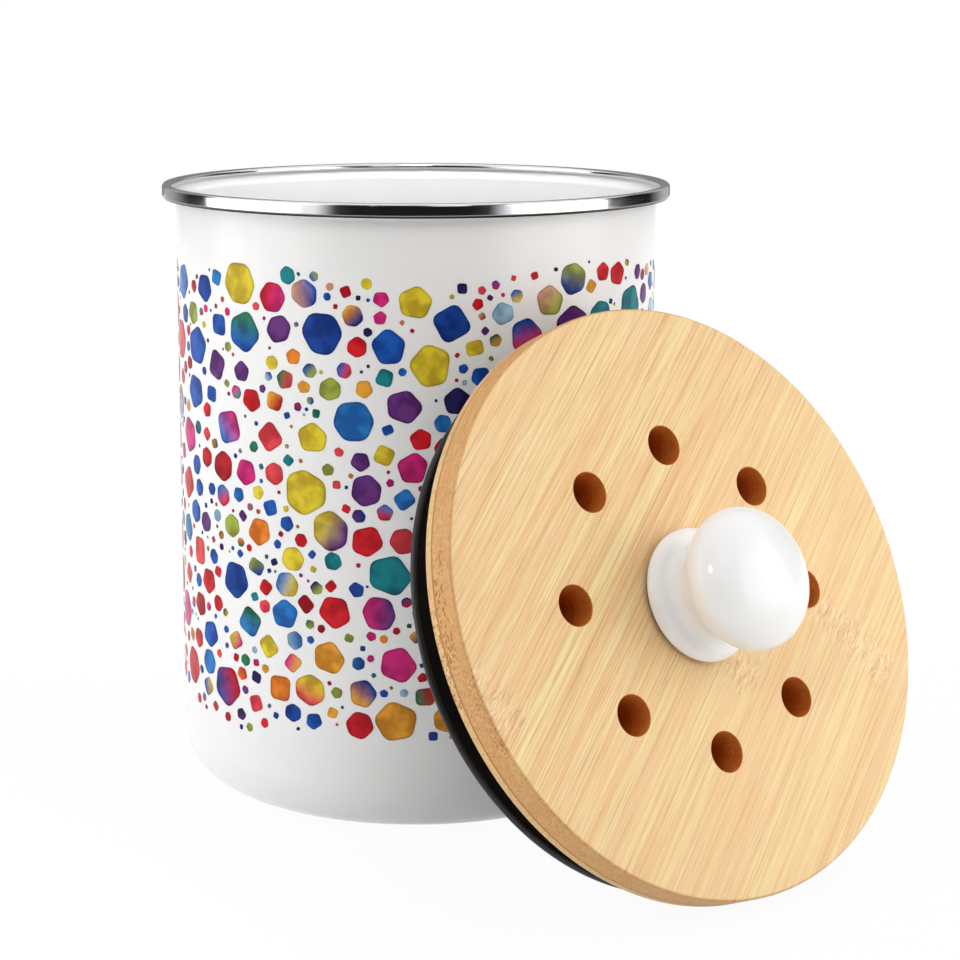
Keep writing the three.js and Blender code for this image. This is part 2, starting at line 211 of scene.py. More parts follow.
def spin(bm, outline, steps, closed=True, centre=(0, 0, 0)):  # turns an outline about a vertical axis
    verts = [bm.verts.new((centre[0] + r, centre[1], z)) for r, z in outline]
    pairs = list(zip(verts, verts[1:] + verts[:1])) if closed else list(zip(verts, verts[1:]))
    edges = [bm.edges.new(pair) for pair in pairs]
    bmesh.ops.spin(bm, geom=verts + edges, cent=centre, axis=(0, 0, 1), angle=math.tau,
                   steps=steps, use_merge=True, use_duplicate=False)


def finished(bm, name, place, sharpDeg=meshing["sharpDeg"], weighted=True):  # a bmesh as an object, in metres
    bmesh.ops.remove_doubles(bm, verts=bm.verts, dist=meshing["merge"])
    bmesh.ops.dissolve_degenerate(bm, edges=bm.edges, dist=meshing["sliver"])
    bmesh.ops.recalc_face_normals(bm, faces=bm.faces)
    bmesh.ops.transform(bm, matrix=place @ Matrix.Scale(mm, 4), verts=bm.verts)
    for face in bm.faces:
        face.smooth = True
    for edge in bm.edges:
        edge.smooth = len(edge.link_faces) != 2 or edge.calc_face_angle(0) < math.radians(sharpDeg)
    mesh = bpy.data.meshes.new(name)
    bm.to_mesh(mesh)
    bm.free()
    piece = bpy.data.objects.new(name, mesh)
    bpy.context.scene.collection.objects.link(piece)
    if weighted:
        modifier = piece.modifiers.new("Face weighted normals", "WEIGHTED_NORMAL")
        modifier.keep_sharp = True
    return piece


def turned(name, outline, place, steps, closed=True):
    bm = bmesh.new()
    spin(bm, outline, steps, closed)
    return finished(bm, name, place)


def copied(name, node):  # a CAD node's own shape, merged and smoothed
    bm = bmesh.new()
    bm.from_mesh(frame["nodes"][node].data)
    bmesh.ops.transform(bm, matrix=Matrix.Scale(1 / mm, 4), verts=bm.verts)
    return finished(bm, name, upright, meshing["copySharpDeg"])


def dress(piece, materials, body, slot, *nodes):  # materials, body, slot (not used) and the CAD nodes it stands for
    for material in materials:
        piece.data.materials.append(material)
    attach(piece, body)
    if nodes:
        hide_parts(*nodes)


# Finishes

def enamelFinish():
    look = {
        "colour": (0.86, 0.86, 0.857, 1), "warmer": (0.89, 0.887, 0.878, 1), "cloud": 0.02,
        "roughness": 0.2, "hazeRoughness": 0.05, "haze": 0.09,
        "ripple": 0.25, "rippleDepth": 0.035, "rippleStrength": 0.5, "coat": 0.2, "coatRoughness": 0.2,
    }
    finish = Finish("white_enamel")
    place = finish.coordinates()
    cloud = finish.noise(place, look["cloud"])
    ripple = finish.noise(place, look["ripple"], 1.0)
    return finish.surface(
        Base_Color=finish.mix(cloud, look["colour"], look["warmer"]),
        Roughness=look["roughness"] + look["hazeRoughness"] * finish.noise(place, look["haze"], 3.0),
        Normal=finish.bump(ripple, look["rippleDepth"], look["rippleStrength"]),
        Coat_Weight=look["coat"], Coat_Roughness=look["coatRoughness"])


def steelFinish():
    look = {
        # edge: painted shade, a dark band on the skirt's lower edge where it meets the enamel
        "colour": (0.80, 0.81, 0.82, 1), "edge": (0.05, 0.05, 0.055, 1),
        "paintedShadeLow": 194.1, "paintedShadeHigh": 194.7,  # heights between which the painted shade along the skirt's lower edge fades out
        "roughness": 0.08, "lineRoughness": 0.06, "lineDepth": 0.002, "lineStrength": 0.3,
        "roundLine": 0.02, "acrossLine": 6,  # the drawn lines run round the rim
    }
    finish = Finish("polished_rim_steel")
    x, y, z = finish.split(finish.coordinates())
    place = finish.join(x * look["roundLine"], y * look["roundLine"], z * look["acrossLine"])
    lines = finish.noise(place, detail=3.0)
    return finish.surface(
        # the skirt's lower edge is painted dark, as painted shade
        Base_Color=finish.mix(z.fade(look["paintedShadeLow"], look["paintedShadeHigh"]), look["edge"], look["colour"]),
        Metallic=1.0,
        Roughness=look["roughness"] + look["lineRoughness"] * lines,
        Normal=finish.bump(lines, look["lineDepth"], look["lineStrength"]))


def inkFinish():
    look = {
        "deep": (0.32, 0.22, 0.34, 1), "deepShare": 0.5, "pale": (1, 1, 1, 1), "paleShare": 0.22,
        "pool": 0.17, "poolDetail": 2.5, "poolRoughness": 0.45, "poolFade": (0.36, 0.64),
        "grain": 1.1, "grainFade": (0.35, 0.7), "grainRoughness": 0.06, "grainDepth": 0.004,
        "grainStrength": 0.3, "roughness": 0.2, "shine": 0.08,
    }
    finish = Finish("fired_print")
    place = finish.coordinates()
    ink = finish.attribute("ink")
    pool = finish.noise(place, look["pool"], look["poolDetail"], look["poolRoughness"])
    pool = pool.fade(*look["poolFade"])
    grain = finish.noise(place, look["grain"]).fade(*look["grainFade"])
    pale = finish.mix(look["paleShare"], ink, look["pale"], "SOFT_LIGHT")
    deep = finish.mix(look["deepShare"], ink, look["deep"], "MULTIPLY")
    return finish.surface(
        Base_Color=finish.mix(pool, deep, pale),
        Roughness=look["roughness"] + look["grainRoughness"] * grain,
        Normal=finish.bump(grain, look["grainDepth"], look["grainStrength"]),
        Specular_IOR_Level=look["shine"])


cane = {
    "grainDeg": 41.3,                      # direction of the fibres on the face
    "strip": 21.2, "joint": -10.3,         # width of a strip, and where one joint between strips lies
    "backPly": 3.1, "frontPly": 7.8,       # heights of the joints between the three plies
    "backShift": 9.0, "innerShift": -1.6,  # how far the other plies' strips lie aside
    "sideStart": 87.4, "sideEnd": 88.0,    # radii over which the face turns into the side
    "hairyStart": -75, "hairyEnd": 50,     # across the grain, where the fibres begin to show more
    "cream": (0.865, 0.625, 0.320, 1),
    "yellow": (0.875, 0.715, 0.355, 1),
    "pink": (0.830, 0.535, 0.285, 1),
    "orange": (0.790, 0.445, 0.165, 1),
    "light": (0.920, 0.755, 0.440, 1),
    "line": (0.520, 0.260, 0.090, 1),
    "fibre": (0.450, 0.215, 0.070, 1),
    "glue": (0.440, 0.165, 0.030, 1),
    "side": (0.780, 0.625, 0.455, 1),
    "backSide": (0.880, 0.860, 0.820, 1),
    "seared": (0.84, 0.39, 0.12, 1),       # tint of the vents' drilled walls
    "roughness": 0.46, "fineRoughness": 0.18, "depth": 0.03, "strength": 0.5, "shine": 0.4,
    "strips": 9, "firstStrip": -5,         # strips from one edge of the board to the other
    "pastStop": 0.02,
    "ownShift": 170, "plyShift": 5,        # how far the textures of strips and plies may lie apart
    "chanceSeed": 3.0,
    "porousFront": 2, "porousBack": 3,     # strips of the plies whose cut ends are full of pores
    # a node disturbs the fibres: its half width, where it fades out, how it wanders and bends them
    "nodeCore": 2, "nodeReach": 11, "nodeWander": 14, "nodeBend": 2.2, "nodeRange": 1000,
    # strip's place across the board, and where its node lies along it; far ones don't show
    "nodes": [(0.0, 400), (0.222, 30), (0.333, -3), (0.444, -8), (0.555, 300), (0.666, 260), (0.777, -73),
              (0.888, 500)],
    # noises drawn out along the fibres: stretch along, fineness across, detail, roughness and seed
    "grains": {
        "broad": (0.004, 0.11, 2.0, 0.5, 0.0),
        "pinkish": (0.005, 0.16, 3.0, 0.6, 11.0),
        "streak": (0.011, 0.85, 4.0, 0.7, 23.0),
        "light": (0.015, 1.45, 3.0, 0.65, 37.0),
        "fine": (0.04, 3.3, 2.0, 0.5, 41.0),
        "line": (0.014, 1.9, 2.0, 0.5, 53.0),
        "dash": (0.045, 2.5, 2.0, 0.5, 67.0),
    },
    # fineness of the other textures along and across the fibres and through the board
    "fineness": {
        "wander": (0.07, 0.16, 1), "sway": (0.12, 0.25, 0.3), "crumb": (0.24, 1.5, 1.5),
        "dots": (0.02, 1.35, 1.35), "pores": (0.25, 1.05, 1.05), "speck": (2.2, 2.2, 2.2),
    },
    # strokes on the ground colour: noise, where it fades in, share, its gain where hairy, and colour
    "strokes": [
        ("pinkish", 0.44, 0.62, 0.80, 0.00, "pink"),
        ("streak", 0.50, 0.61, 0.52, 0.20, "orange"),
        ("light", 0.53, 0.62, 0.50, 0.18, "light"),
        ("fine", 0.47, 0.60, 0.24, 0.36, "orange"),
        ("line", 0.61, 0.68, 0.30, 0.36, "line"),
    ],
    # values between which a texture or a line fades
    "fades": {
        "ground": (0.38, 0.6), "dash": (0.62, 0.69), "dots": (0.16, 0.4), "pores": (0.28, 0.54),
        "nodeDark": (0.54, 0.64), "nodeLight": (0.38, 0.46), "speck": (0.5, 0.7), "drilledSpeck": (0.4, 0.7),
        "seam": (0.490, 0.499), "backLine": (0.22, 0.5), "frontLine": (0.04, 0.2),
    },
    # how strongly each colours the bamboo
    "shares": {
        "dash": 0.3, "dashGain": 0.36, "chance": 0.2, "dots": 0.1, "pores": 0.16, "poresGain": 0.72,
        "node": 0.3, "nodeGain": 0.25, "nodeDark": 0.5, "nodeLight": 0.7, "speck": 0.35, "drilledSpeck": 0.5,
        "backLine": 0.92, "frontLine": 0.25, "seam": 0.16, "drilledGlue": 0.25,
    },
    # how far each stands proud or lies deep
    "relief": {"streak": 0.4, "fine": 0.5, "glue": 1.2, "dots": 0.35, "node": 0.6},
}


def bambooFinish(name, tint=None):
    finish = Finish(name)
    turn = Matrix.Rotation(math.radians(-cane["grainDeg"]), 3, "Z") @ lidTurn.transposed()
    along, across, height = finish.split(finish.coordinates(turn, lidPlace.translation))
    fades, shares, relief = cane["fades"], cane["shares"], cane["relief"]

    def layered(base, share, colour):
        return finish.mix(share, base, cane[colour])

    def scaled(x, y, z, texture):
        return finish.join(*(part * fine for part, fine in zip((x, y, z), cane["fineness"][texture])))

    def near(offset, fade):  # 1 in a thin joint between two plies
        return 1 - offset.size().fade(*fade)

    # Plies and strips, each strip with a chance number of its own
    front = height > cane["frontPly"]
    back = height < cane["backPly"]
    ply = front + 2 * back
    shifted = across - cane["joint"] + back * cane["backShift"] + (1 - front) * cane["innerShift"]
    stripPlace = shifted / cane["strip"]
    strip = stripPlace.floor()
    chance = finish.add("ShaderNodeTexWhiteNoise", {"noise_dimensions": "3D"},
                        {"Vector": finish.join(strip, ply, cane["chanceSeed"])})
    side = (along * along + across * across).root().fade(cane["sideStart"], cane["sideEnd"])

    # A node of the cane crosses some strips; the fibres are disturbed there. A strip reads the ramp
    # just past its own stop.
    stops = [(place, (0.5 + spot / cane["nodeRange"],) * 3 + (1,)) for place, spot in cane["nodes"]]
    nodeSpot = finish.add("ShaderNodeValToRGB", {"stops": stops, "interpolation": "CONSTANT"},
                          {0: (strip - cane["firstStrip"] + cane["pastStop"]) / cane["strips"]})
    spot = (finish.split(nodeSpot)[0] - 0.5) * cane["nodeRange"]
    wander = finish.noise(scaled(along, across, ply, "wander"), detail=1.0)
    away = (along - spot + cane["nodeWander"] * (wander - 0.5)).size()
    knuckle = 1 - away.fade(cane["nodeCore"], cane["nodeReach"])
    sway = finish.noise(scaled(along, across, height, "sway"), detail=1.0)
    bentAcross = across + knuckle * cane["nodeBend"] * (sway - 0.5)
    crumb = finish.noise(scaled(along, bentAcross, height, "crumb"), detail=3.0, roughness=0.6)

    # Fibres, their cut ends at the side, and specks
    own = along + cane["ownShift"] * chance
    grains = {}
    for grain, (stretch, fineness, detail, roughness, seed) in cane["grains"].items():
        through = height * fineness + ply * cane["plyShift"] + seed
        place = finish.join(own * stretch, bentAcross * fineness, through)
        grains[grain] = finish.noise(place, detail=detail, roughness=roughness)
    dots = 1 - finish.cells(scaled(own, bentAcross, height, "dots")).fade(*fades["dots"])
    pores = 1 - finish.cells(scaled(along, across, height, "pores")).fade(*fades["pores"])
    porous = (((strip - cane["porousFront"]).size() < 0.5) * front
              + ((strip - cane["porousBack"]).size() < 0.5) * (1 - front))
    speck = finish.noise(scaled(along, across, height, "speck"), roughness=0.6)
    hairy = across.fade(cane["hairyStart"], cane["hairyEnd"])

    base = finish.mix(grains["broad"].fade(*fades["ground"]), cane["cream"], cane["yellow"])
    for grain, low, high, share, gain, colour in cane["strokes"]:
        base = layered(base, (share + gain * hairy) * grains[grain].fade(low, high), colour)
    dash = grains["dash"].fade(*fades["dash"]) * (1 - side)
    base = layered(base, (shares["dash"] + shares["dashGain"] * hairy) * dash, "line")
    base = layered(base, shares["chance"] * chance, "pink")
    base = layered(base, shares["dots"] * dots, "fibre")
    base = layered(base, side * pores * (shares["pores"] + shares["poresGain"] * porous), "fibre")
    base = layered(base, knuckle * (shares["node"] + shares["nodeGain"] * sway), "pink")
    base = layered(base, knuckle * shares["nodeDark"] * crumb.fade(*fades["nodeDark"]), "line")
    base = layered(base, knuckle * shares["nodeLight"] * (1 - crumb.fade(*fades["nodeLight"])), "light")
    base = layered(base, side * shares["speck"] * speck.fade(*fades["speck"]), "fibre")
    sideTint = finish.mix(back, cane["side"], cane["backSide"])
    base = finish.mix(side, base, finish.mix(1.0, base, sideTint, "MULTIPLY"))

    # Glue shows where plies and strips meet, and hardly in a drilled wall
    seam = (stripPlace - strip - 0.5).size().fade(*fades["seam"])
    backLine = near(height - cane["backPly"], fades["backLine"])
    frontLine = near(height - cane["frontPly"], fades["frontLine"])
    glue = backLine * shares["backLine"] + frontLine * shares["frontLine"] + seam * shares["seam"]
    glue = glue * (shares["drilledGlue"] if tint else 1.0)
    base = layered(base, glue, "glue")
    if tint:
        base = layered(base, shares["drilledSpeck"] * speck.fade(*fades["drilledSpeck"]), "fibre")
        base = finish.mix(1.0, base, tint, "MULTIPLY")
    proud = grains["streak"] * relief["streak"] + grains["fine"] * relief["fine"]
    proud = proud - glue * relief["glue"] - dots * relief["dots"] + knuckle * crumb * relief["node"]
    return finish.surface(
        Base_Color=base,
        Roughness=cane["roughness"] + cane["fineRoughness"] * grains["fine"],
        Normal=finish.bump(proud, cane["depth"], cane["strength"]),
        Specular_IOR_Level=cane["shine"])


plain = {"cloud": 0.12, "grainRoughness": 0.12, "grainStrength": 0.6}  # cloud: share of the grain's scale


def plainFinish(name, colour, second, roughness, scale, depth, metallic=0.0, coat=0.0, shine=0.5):
    finish = Finish(name)
    place = finish.coordinates()
    cloud = finish.noise(place, scale * plain["cloud"])
    grain = finish.noise(place, scale, 3.0)
    return finish.surface(
        Base_Color=finish.mix(cloud, (*colour, 1), (*second, 1)), Metallic=metallic,
        Roughness=roughness + plain["grainRoughness"] * (grain - 0.5),
        Normal=finish.bump(grain, depth, plain["grainStrength"]),
        Coat_Weight=coat, Specular_IOR_Level=shine)


enamel = enamelFinish()
steel = steelFinish()
ink = inkFinish()
bamboo = bambooFinish("bamboo")
searedBamboo = bambooFinish("drilled_bamboo", cane["seared"])
silicone = plainFinish("black_silicone", (0.007, 0.0075, 0.0095), (0.011, 0.0115, 0.015),
                       roughness=0.36, scale=1.4, depth=0.01, shine=0.4)
glaze = plainFinish("white_glaze", (0.875, 0.87, 0.865), (0.89, 0.885, 0.88),
                    roughness=0.2, scale=0.12, depth=0.05, coat=0.15)
softWasher = plainFinish("dark_fibre", (0.03, 0.024, 0.02), (0.045, 0.035, 0.03),
                         roughness=0.8, scale=3.0, depth=0.03)
brass = plainFinish("turned_brass", (0.78, 0.6, 0.27), (0.72, 0.52, 0.22),
                    roughness=0.3, scale=2.0, depth=0.01, metallic=1.0)
zinc = plainFinish("zinc_steel", (0.7, 0.71, 0.72), (0.6, 0.61, 0.63),
                   roughness=0.34, scale=2.0, depth=0.01, metallic=1.0)
plastic = plainFinish("black_plastic", (0.02, 0.02, 0.022), (0.026, 0.026, 0.028),
                      roughness=0.5, scale=5.0, depth=0.012)
felt = plainFinish("charcoal_felt", (0.016, 0.016, 0.017), (0.05, 0.05, 0.052),
                   roughness=0.93, scale=3.2, depth=0.25)
print("finishes made")


# Can

can = {
    "bodyRadius": 78, "height": 198, "sheet": 0.9, "corner": 17.5, "collarRadius": 81.7,
    "stepBottom": 192.6, "stepTop": 196, "collarTop": 197.2,
    "beadRadius": 44, "beadWidth": 6, "beadDepth": 0.9,  # the ring pressed into the base
    "wallRings": (60, 100, 140), "cornerSteps": 16, "beadSteps": 6, "collarSteps": 8, "steps": 192,
}


def canSkin(inset):  # outline of one skin, from the middle of the base to the collar's top
    wall, collar = can["bodyRadius"] - inset, can["collarRadius"] - inset
    middle = (can["stepBottom"] + can["stepTop"]) / 2
    corner = Vector((can["bodyRadius"] - can["corner"], can["corner"]))
    reach = can["corner"] - inset
    bead, half = can["beadRadius"], can["beadWidth"] / 2
    raised = inset + can["beadDepth"]
    points = [Vector((0, inset)), Vector((bead - half, inset))]
    for start, pull, end in ((-half, -half / 2, 0), (0, half / 2, half)):
        rises = (inset, raised) if start < 0 else (raised, inset)
        points += bent((bead + start, rises[0]), (bead + pull, rises[0]), (bead + pull, rises[1]),
                       (bead + end, rises[1]), can["beadSteps"])
    for step in range(can["cornerSteps"] + 1):
        angle = math.radians(-90 + 90 * step / can["cornerSteps"])
        points.append(Vector((corner.x + reach * math.cos(angle), corner.y + reach * math.sin(angle))))
    points += [Vector((wall, z)) for z in (*can["wallRings"], can["stepBottom"])]
    points += bent((wall, can["stepBottom"]), (wall, middle), (collar, middle), (collar, can["stepTop"]),
                   can["collarSteps"])
    points.append(Vector((collar, can["collarTop"])))
    return points


canOutline = canSkin(0) + canSkin(can["sheet"])[::-1]
canShell = turned("can_shell", canOutline, upright, can["steps"], closed=False)
dress(canShell, [enamel], "can", "enamel", "can_body")

rim = {
    "radius": 82.5, "mouth": 79.6, "sheet": 0.5, "skirt": 4.4, "innerSkirt": 2.0, "round": 1.05,
    "mouthRound": 1.35, "curl": 0.9, "curlIn": 0.54, "hem": 0.5, "edgeRound": 0.1,
    "innerRounds": (0.15, 0.12, 0.9, 0.6, 0.3),  # along the band's inside, from the mouth to the skirt
}


def rimOutline():
    top, skirt, inner = can["height"], can["height"] - rim["skirt"], can["height"] - rim["innerSkirt"]
    mouthInside, outside = rim["mouth"] + rim["sheet"], rim["radius"] - rim["sheet"]
    rounds = rim["innerRounds"]
    return rounded([
        (rim["radius"] - rim["curlIn"], skirt, rim["edgeRound"]),
        (rim["radius"], skirt, rim["curl"]),
        (rim["radius"], top, rim["round"]),
        (rim["mouth"], top, rim["mouthRound"]),
        (rim["mouth"], inner, rounds[0]),
        (mouthInside, inner, rounds[1]),
        (mouthInside, top - rim["sheet"], rounds[2]),
        (outside, top - rim["sheet"], rounds[3]),
        (outside, skirt + rim["hem"], rounds[4]),
    ], steps=7)


dress(turned("rim_steel_band", rimOutline(), upright, can["steps"]), [steel], "can", "rim_steel", "rim_band")
print("can made")


# Print on the wall: fired chips of glass colour, scattered by seeded dice

printed = {
    "seed": 2317, "low": 27, "high": 181, "proud": 0.08, "sunk": 0.05, "tries": 9000, "cell": 16,
    # The band's two edges wander in waves round the wall; a chip keeps a share of its radius inside
    "ragged": 9, "lowWaves": (23, 11), "lowShift": 1.3, "lowSwing": 0.22, "highWave": 17, "highSwing": 0.25,
    "margin": 0.9,
    # range of diameters, the most chips of that range, and their gap to others
    "sizes": [(11.8, 14.2, 72, 0.9), (8.8, 11.5, 140, 0.8), (6, 8.6, 190, 0.7), (4, 5.8, 260, 0.7),
              (2.4, 3.8, 340, 0.6), (1.1, 2.2, 420, 0.6)],
    # colour and how often it comes
    "inks": [((0.012, 0.085, 0.42), 15), ((0.010, 0.050, 0.28), 9), ((0.02, 0.16, 0.50), 6),
             ((0.62, 0.012, 0.02), 13), ((0.40, 0.008, 0.018), 6), ((0.70, 0.05, 0.06), 5),
             ((0.72, 0.55, 0.03), 8), ((0.60, 0.02, 0.17), 8), ((0.12, 0.03, 0.18), 5),
             ((0.02, 0.018, 0.09), 4), ((0.02, 0.16, 0.07), 4), ((0.30, 0.36, 0.05), 5),
             ((0.01, 0.19, 0.22), 4), ((0.78, 0.20, 0.02), 6), ((0.80, 0.33, 0.03), 4),
             ((0.30, 0.52, 0.68), 2), ((0.80, 0.42, 0.26), 2), ((0.05, 0.35, 0.55), 2)],
    "blends": 0.3,      # share of the chips that run into a second colour
    "blendPull": 0.9,   # how sharply they run
    "edgeShade": 0.55,  # the ink is darker where it pools at a chip's edge
    "smallRadius": 1.2, "wideRadius": 2, "corners": (4, 5, 5, 6), "cornerSwing": 0.1, "reach": (1.0, 1.18),
    "leastRound": 0.4, "roundDivisor": 11,  # rounding by radius: corners over the divisor, or the least
    "inset": 0.13, "insetRise": 0.02, "crown": 0.03,
}


def clearSpot(cells, columns, around, chip, gap):  # the cell of a chip that keeps clear of all others
    u, z, radius = chip["u"], chip["z"], chip["radius"]
    wave = math.sin(u / printed["lowWaves"][0]) + math.sin(u / printed["lowWaves"][1] + printed["lowShift"])
    margin = radius * printed["margin"]
    floor = printed["low"] + printed["ragged"] * (0.5 + printed["lowSwing"] * wave) + margin
    swing = printed["highSwing"] * math.cos(u / printed["highWave"])
    ceiling = printed["high"] - printed["ragged"] * (0.5 + swing) - margin
    clear = floor < z < ceiling
    column, row = int(u // printed["cell"]), int(z // printed["cell"])
    others = [other for i in (-1, 0, 1) for j in (-1, 0, 1)
              for other in cells.get(((column + i) % columns, row + j), [])]
    for other in others:
        sideways = abs(other["u"] - u)
        sideways = min(sideways, around - sideways)
        clear = clear and math.hypot(sideways, other["z"] - z) > other["radius"] + radius + gap
    return (column, row) if clear else None


def scattered(dice):  # places, sizes and colours of the chips on the unrolled wall, big ones first
    around = math.tau * can["bodyRadius"]
    columns = math.ceil(around / printed["cell"])
    inks, weights = zip(*printed["inks"])
    cells, chips = {}, []
    for low, high, most, gap in printed["sizes"]:
        made = 0
        for _ in range(printed["tries"]):
            if made >= most:
                break
            radius = dice.uniform(low, high) / 2
            u, z = dice.uniform(0, around), dice.uniform(printed["low"], printed["high"])
            chip = {"radius": radius, "u": u, "z": z}
            cell = clearSpot(cells, columns, around, chip, gap)
            if not cell:
                continue
            first, second = dice.choices(inks, weights, k=2)
            second = second if dice.random() < printed["blends"] else first
            chip.update({"inks": (first, second), "run": dice.uniform(0, math.tau)})
            cells.setdefault(cell, []).append(chip)
            chips.append(chip)
            made += 1
    return chips


def chipOutline(dice, radius):  # a pebble: an uneven polygon with very round corners
    corners = dice.choice(printed["corners"]) if radius > printed["smallRadius"] else 4
    turn = dice.uniform(0, math.tau)
    swing = printed["cornerSwing"]
    points = []
    for corner in range(corners):
        angle = turn + math.tau * (corner + dice.uniform(-swing, swing)) / corners
        reach = radius * dice.uniform(*printed["reach"])
        soft = radius * max(corners / printed["roundDivisor"], printed["leastRound"])
        points.append((reach * math.cos(angle), reach * math.sin(angle), soft))
    return rounded(points, steps=3 if radius > printed["wideRadius"] else 2)


def chipColour(chip, across, edge):  # ink at one point of a chip
    share = min(1.0, max(0.0, 0.5 + printed["blendPull"] * across))
    colour = [a + (b - a) * share for a, b in zip(*chip["inks"])]
    return [channel * (printed["edgeShade"] if edge else 1.0) for channel in colour] + [1.0]


def chipMesh(dice, chip, mesh):  # one thin, slightly domed plate, bent onto the wall
    radius = chip["radius"]
    bm = bmesh.new()
    inkLayer = bm.verts.layers.float_color.new("ink")
    bottom = bm.faces.new([bm.verts.new((x, y, 0)) for x, y in chipOutline(dice, radius)])
    lifted = bmesh.ops.extrude_face_region(bm, geom=[bottom], use_keep_orig=True)["geom"]
    face = [item for item in lifted if isinstance(item, bmesh.types.BMFace)][0]
    level = printed["sunk"] + printed["proud"]
    bmesh.ops.translate(bm, verts=face.verts, vec=(0, 0, level))
    if radius > printed["smallRadius"]:
        bmesh.ops.inset_region(bm, faces=[face], thickness=radius * printed["inset"],
                               depth=printed["insetRise"], use_even_offset=True)
    bmesh.ops.poke(bm, faces=[face], offset=printed["crown"])
    run = Vector((math.cos(chip["run"]), math.sin(chip["run"]), 0))
    for vert in bm.verts:
        edge = vert.co.z < level + meshing["merge"]
        vert[inkLayer] = chipColour(chip, vert.co.dot(run) / radius, edge)
        reach = can["bodyRadius"] - printed["sunk"] + vert.co.z
        angle = (chip["u"] + vert.co.x) / can["bodyRadius"]
        vert.co = Vector((reach * math.cos(angle), reach * math.sin(angle), chip["z"] + vert.co.y))
    bm.to_mesh(mesh)
    bm.free()


def wallPrint():
    dice = random.Random(printed["seed"])
    chips = scattered(dice)
    print("print chips:", len(chips))
    bm = bmesh.new()
    mesh = bpy.data.meshes.new("chip")
    for chip in chips:
        chipMesh(dice, chip, mesh)
        bm.from_mesh(mesh)
    bpy.data.meshes.remove(mesh)
    return finished(bm, "wall_print", upright, weighted=False)


dress(wallPrint(), [ink], "can", "enamel")
print("print made")


# Lid board and plug

board = {
    "radius": 88.2, "thickness": 11.6, "frontRound": 1.0, "backRound": 0.6, "joinIn": 3, "screwHole": 2.6,
    "ventRadius": 6, "ventCircle": 45.8, "vents": 8, "ventPhaseDeg": 38.9, "ventRound": 0.14, "ventSteps": 56,
    "steps": 224,
}
plug = {
    "radius": 74, "recess": 57, "top": -0.3, "bottom": -12.3, "groove": 1.2, "grooveTop": -4.3,
    "grooveBottom": -7.3, "topRound": 0.2, "grooveRound": 0.1, "bottomRound": 0.8, "recessRound": 0.5,
    "webTop": -0.05, "webBottom": -5.2, "webStep": 1, "headHole": 9, "steps": 192,
}


def drilled(name, outline, middleHole, steps):  # turned, its two ends joined by faces with the vents
    bm = bmesh.new()
    spin(bm, outline, steps, closed=False)
    start, end = outline[0].y, outline[-1].y
    circle, soft = board["ventCircle"], board["ventRound"]
    angles = [math.radians(board["ventPhaseDeg"] + 360 * i / board["vents"]) for i in range(board["vents"])]
    vents = [Vector((circle * math.cos(angle), circle * math.sin(angle), 0)) for angle in angles]
    for place, radius in [(vent, board["ventRadius"]) for vent in vents] + [(Vector(), middleHole)]:
        wide = radius + 2 * soft
        wall = rounded([(wide, start), (radius, start, soft), (radius, end, soft), (wide, end)], closed=False)
        spin(bm, wall, board["ventSteps"], closed=False, centre=place)
    bmesh.ops.remove_doubles(bm, verts=bm.verts, dist=meshing["merge"])
    for level in (start, end):
        rings = [edge for edge in bm.edges if len(edge.link_faces) == 1
                 and all(abs(vert.co.z - level) < 2 * meshing["merge"] for vert in edge.verts)]
        bmesh.ops.triangle_fill(bm, use_beauty=True, edges=rings, normal=(0, 0, 1))
    for face in bm.faces:  # the walls of the vents have their own material
        middle = face.calc_center_median()
        if any((middle - vent).xy.length < board["ventRadius"] + soft for vent in vents):
            face.material_index = 1
    return finished(bm, name, lidPlace)


def boardOutline():
    join, thickness = board["radius"] - board["joinIn"], board["thickness"]
    return rounded([
        (join, 0), (board["radius"], 0, board["backRound"]),
        (board["radius"], thickness, board["frontRound"]), (join, thickness),
    ], closed=False, steps=6)


def plugOutline():  # its web closes the recess above the pad; the vents go on through it
    radius, recess, groove = plug["radius"], plug["recess"], plug["radius"] - plug["groove"]
    join = recess - board["joinIn"]
    return rounded([
        (join, plug["webTop"]), (recess - plug["webStep"], plug["webTop"]), (recess, plug["top"]),
        (radius, plug["top"], plug["topRound"]), (radius, plug["grooveTop"], plug["grooveRound"]),
        (groove, plug["grooveTop"]), (groove, plug["grooveBottom"]),
        (radius, plug["grooveBottom"], plug["grooveRound"]), (radius, plug["bottom"], plug["bottomRound"]),
        (recess, plug["bottom"], plug["recessRound"]), (recess, plug["webBottom"], plug["recessRound"]),
        (join, plug["webBottom"]),
    ], closed=False)


lidBoard = drilled("lid_board_bamboo", boardOutline(), board["screwHole"], board["steps"])
dress(lidBoard, [bamboo, searedBamboo], "lid", "bamboo", "lid_board")
lidPlug = drilled("lid_plug_bamboo", plugOutline(), plug["headHole"], plug["steps"])
dress(lidPlug, [bamboo, searedBamboo], "lid", "bamboo", "lid_plug")

# Seal: a sleeve round the plug with a rib in its groove and a free lip that ends in a bead
seal = {
    "inner": 74.3, "outer": 76.7, "top": -0.3, "bottom": -15.2, "sleeveRound": 0.5, "topRounds": (0.4, 0.3),
    "lip": 83.0, "web": 1.2, "webRounds": (0.15, 0.6), "bead": 2.4, "beadWidth": 1.5, "beadNeck": 1.9,
    "beadRound": 1.1, "neckRounds": (0.4, 0.3),
    "ribInner": 73.1, "ribTop": -4.6, "ribBottom": -7.0, "ribRound": 0.3, "steps": 192,
}


